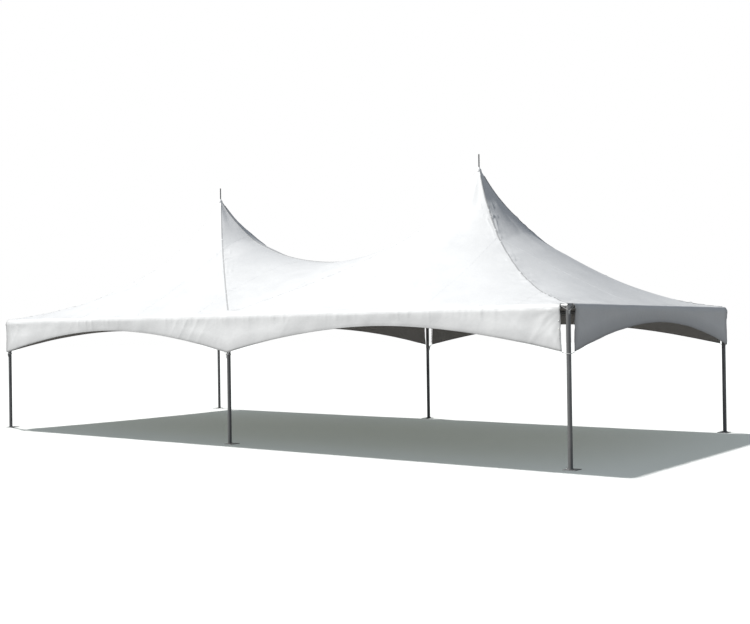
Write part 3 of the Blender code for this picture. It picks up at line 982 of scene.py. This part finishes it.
def make_hardware():
    """Bolts at the eave fittings and pins at the foot collars."""
    bolts, pins = Shape(), Shape()
    below = EAVE_Z - TUBE_R
    for x, y in LEG_SPOTS:
        sx, sy = (math.copysign(1, x) if x else 0), math.copysign(1, y)
        arms = [(0, -sy)] + [(step, 0) for step in ((-sx,) if sx else (-1, 1))]
        for ax, ay in arms:
            for reach in (0.070, 0.096):
                bolt(bolts, (x + ax * reach, y + ay * reach, below - 0.0002), (0, 0, -1), 0.8)
        for drop in (0.068, 0.096):
            bolt(bolts, (x, y - sy * (TUBE_R - 0.0002), EAVE_Z - drop), (0, -sy, 0), 0.8)
        side = (-sx, 0, 0) if sx else (1, 0, 0)
        ring_pin(pins, (x + side[0] * COLLAR_R, y, 0.013), side)
    new_piece("fitting_bolts", bolts, BRIGHT, sharp=35)
    new_piece("collar_pins", pins, BRIGHT, sharp=35)


def make_cable(side, sy, toward):
    """One mast cable: wire rope with swaged ends and a turnbuckle at its eave end."""
    sx = -1 if side == "left" else 1
    centre = sx * HALF
    way = Vector((toward, sy, 0)).normalized()
    start = Vector((centre, 0, HUB_Z - HUB_THICK / 2)) + way * (HUB_R + GAP)
    end = Vector((centre + toward * HALF, sy * HALF, EAVE_Z - LUG_DROP)) - way * (LUG_END + GAP)
    length = (end - start).length
    matrix = aimed(start, end - start)
    shape = Shape()
    rope_from, rope_to = 0.070, length - 0.300
    count = round((rope_to - rope_from) / 0.011)
    line = [(0, 0, rope_from + (rope_to - rope_from) * k / count) for k in range(count + 1)]
    shape.add(*sweep(line, 0.0048, 12, 6, 0.10, 0.3), matrix)
    stud = [(0, 0.0), (0.0085, 0.0), (0.0085, 0.010), (0.0052, 0.014), (0.0052, 0.030),
            (0.0095, 0.034), (0.0095, 0.084), (0.0070, 0.092), (0, 0.092)]
    shape.add(*turned(stud, 16), matrix)
    swage = [(0, rope_to - 0.030), (0.0070, rope_to - 0.030), (0.0095, rope_to - 0.022),
             (0.0095, rope_to + 0.030), (0.0052, rope_to + 0.036)]
    threads = [(0.0052 - 0.0008 * (k % 2), rope_to + 0.036 + 0.003 * k) for k in range(20)]
    shape.add(*turned([*swage, *threads, (0, rope_to + 0.096)], 16), matrix)
    body_low, body_high = rope_to + 0.070, length - 0.060
    for low, high in ((body_low, body_low + 0.022), (body_high - 0.022, body_high)):
        boss = [(0, low), (0.0105, low), (0.0125, low + 0.003), (0.0125, high - 0.003),
                (0.0105, high), (0, high)]
        shape.add(*turned(boss, 16), matrix)
    for offset in (-0.0105, 0.0105):
        bar = [(offset, 0, body_low + 0.008), (offset, 0, body_high - 0.008)]
        shape.add(*sweep(smooth_path(bar, 0.02), 0.0042, 10), matrix)
    threads = [(0.0052 - 0.0008 * (k % 2), body_high - 0.040 + 0.003 * k) for k in range(18)]
    jaw = [(0.0052, length - 0.046), (0.0110, length - 0.040), (0.0110, length - 0.006),
           (0.0080, length), (0, length)]
    shape.add(*turned([(0, body_high - 0.042), *threads, *jaw], 16), matrix)
    row = "front" if sy < 0 else "back"
    end_name = "left" if toward < 0 else "right"
    node = f"mast_cable_{side}_{row}_{end_name}"
    new_piece(f"wire_{side}_{row}_{end_name}", shape, WIRE, (node,), sharp=40)


def make_peak_boots():
    """Moulded white boots that close the roof round the two spikes."""
    profile = [(0.0300, -0.020), (0.0440, -0.024), (0.0448, -0.021), (0.0405, -0.004),
               (0.0380, 0.008), (0.0366, 0.013), (0.0300, 0.020), (0.0200, 0.032),
               (0.0140, 0.046), (0.0128, 0.052), (0.0112, 0.053)]
    for name, x in (("left", -HALF), ("right", HALF)):
        shape = Shape()
        shape.add(*turned(profile, 40), Matrix.Translation((x, 0, PEAK_Z)))
        new_piece(f"peak_boot_{name}", shape, VINYL, sharp=50)


def node_look(name):
    """Material for a node of the frame, by its name."""
    looks = {"leg": LEG_TUBE, "mast_hub": FITTING, "mast": LEG_TUBE, "cross_tube": END_TUBE,
             "eave_tube_front": LONG_TUBE, "eave_tube_back": LONG_TUBE, "eave_tube": END_TUBE,
             "fitting": FITTING, "base_plate": PLATE, "peak_cap": CAP}
    for start, look in looks.items():
        if name.startswith(start):
            return look
    return PLATE


def add_sun(name, energy, direction, floor, state):
    """Sun for the floor alone (INCLUDE) or for all but the floor (EXCLUDE)."""
    sun = bpy.data.lights.new(name, "SUN")
    sun.energy = energy
    sun.angle = math.radians(3)
    sun.color = (1.0, 0.99, 0.965)
    lamp = bpy.data.objects.new(name, sun)
    bpy.context.scene.collection.objects.link(lamp)
    lamp.rotation_mode = "QUATERNION"
    lamp.rotation_quaternion = Vector(direction).to_track_quat("Z", "Y")
    lit = bpy.data.collections.new(f"{name}_falls_on")
    lit.objects.link(floor)
    lit.collection_objects[0].light_linking.link_state = state
    lamp.light_linking.receiver_collection = lit


def make_stage():
    """Pale floor, soft sunlight from high on the left and a white surround."""
    bpy.ops.mesh.primitive_plane_add(size=220, location=(0, 0, 0))
    floor = bpy.context.object
    floor.name = "floor"
    floor.data.materials.append(floor_material())
    add_sun("tent_light", 4.54, (-0.57, -0.55, 0.72), floor, "EXCLUDE")
    add_sun("floor_light", 3.6, (-0.40, 0.12, 0.91), floor, "INCLUDE")
    world = bpy.data.worlds.new("studio")
    bpy.context.scene.world = world
    world.use_nodes = True
    tree = world.node_tree
    seen = tree.nodes["Background"]
    seen.inputs["Color"].default_value = (1, 1, 1, 1)
    seen.inputs["Strength"].default_value = 1.0
    soft = tree.nodes.new("ShaderNodeBackground")
    soft.inputs["Color"].default_value = (0.78, 0.87, 1.0, 1)
    soft.inputs["Strength"].default_value = 0.29
    path = tree.nodes.new("ShaderNodeLightPath")
    mix = tree.nodes.new("ShaderNodeMixShader")
    tree.links.new(path.outputs["Is Camera Ray"], mix.inputs[0])
    tree.links.new(soft.outputs[0], mix.inputs[1])
    tree.links.new(seen.outputs[0], mix.inputs[2])
    tree.links.new(mix.outputs[0], tree.nodes["World Output"].inputs["Surface"])
    bpy.context.scene.view_settings.view_transform = "Standard"


VINYL = vinyl_material("roof_vinyl", 0.79, 0.008)
# Valance vinyl, with painted shade darkening towards its edges
VINYL_HEM = vinyl_material("valance_vinyl", 0.79, 0.008, hem=True)
# Inner faces: darker, warmer vinyl, painted shade standing in for the shaded underside of the canopy
VINYL_INNER_PAINTED_SHADE = vinyl_material("inner_vinyl_painted_shade", 0.66, -0.06)
# Hip and ridge tapes: darker grey, painted shade for the shaded line along the hips and the ridge
# outline
SEAM_PAINTED_SHADE = vinyl_material("seam_vinyl_painted_shade", 0.50, 0.004)
# Corded hems: dark grey, painted shade standing in for the shaded hem rope
HEM_PAINTED_SHADE = vinyl_material("hem_vinyl_painted_shade", 0.42, 0.004)
WEBBING = webbing_material("white_webbing", 0.45)
DARK_WEBBING = webbing_material("dark_webbing", 0.05)
ROPE = rope_material("white_rope", 0.72)
LEG_TUBE = tube_material("leg_tube", 0.28, (1.0, 1.0, 0.04))
LONG_TUBE = tube_material("long_tube", 0.36, (0.04, 1.0, 1.0))
END_TUBE = tube_material("end_tube", 0.36, (1.0, 0.04, 1.0))
FITTING = plate_material("cast_fitting", 0.46, 0.7, 0.40)
PLATE = plate_material("foot_plate", 0.22, 0.4, 0.50)
CAP = plate_material("peak_cap", 0.12, 0.4, 0.45)
WIRE = plate_material("wire_rope", 0.42, 0.9, 0.36)
BRIGHT = plate_material("bright_steel", 0.58, 0.95, 0.28)

make_camera()
roof_cover, roof_surface = make_roof()
make_seams(roof_surface)
make_valances()
make_ties()
make_lacing()
make_hardware()
for bay_side in ("left", "right"):
    for cable_y in (-1, 1):
        for cable_x in (-1, 1):
            make_cable(bay_side, cable_y, cable_x)
make_peak_boots()
for node_name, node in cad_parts.items():
    node.data.materials.clear()
    node.data.materials.append(node_look(node_name))
make_stage()
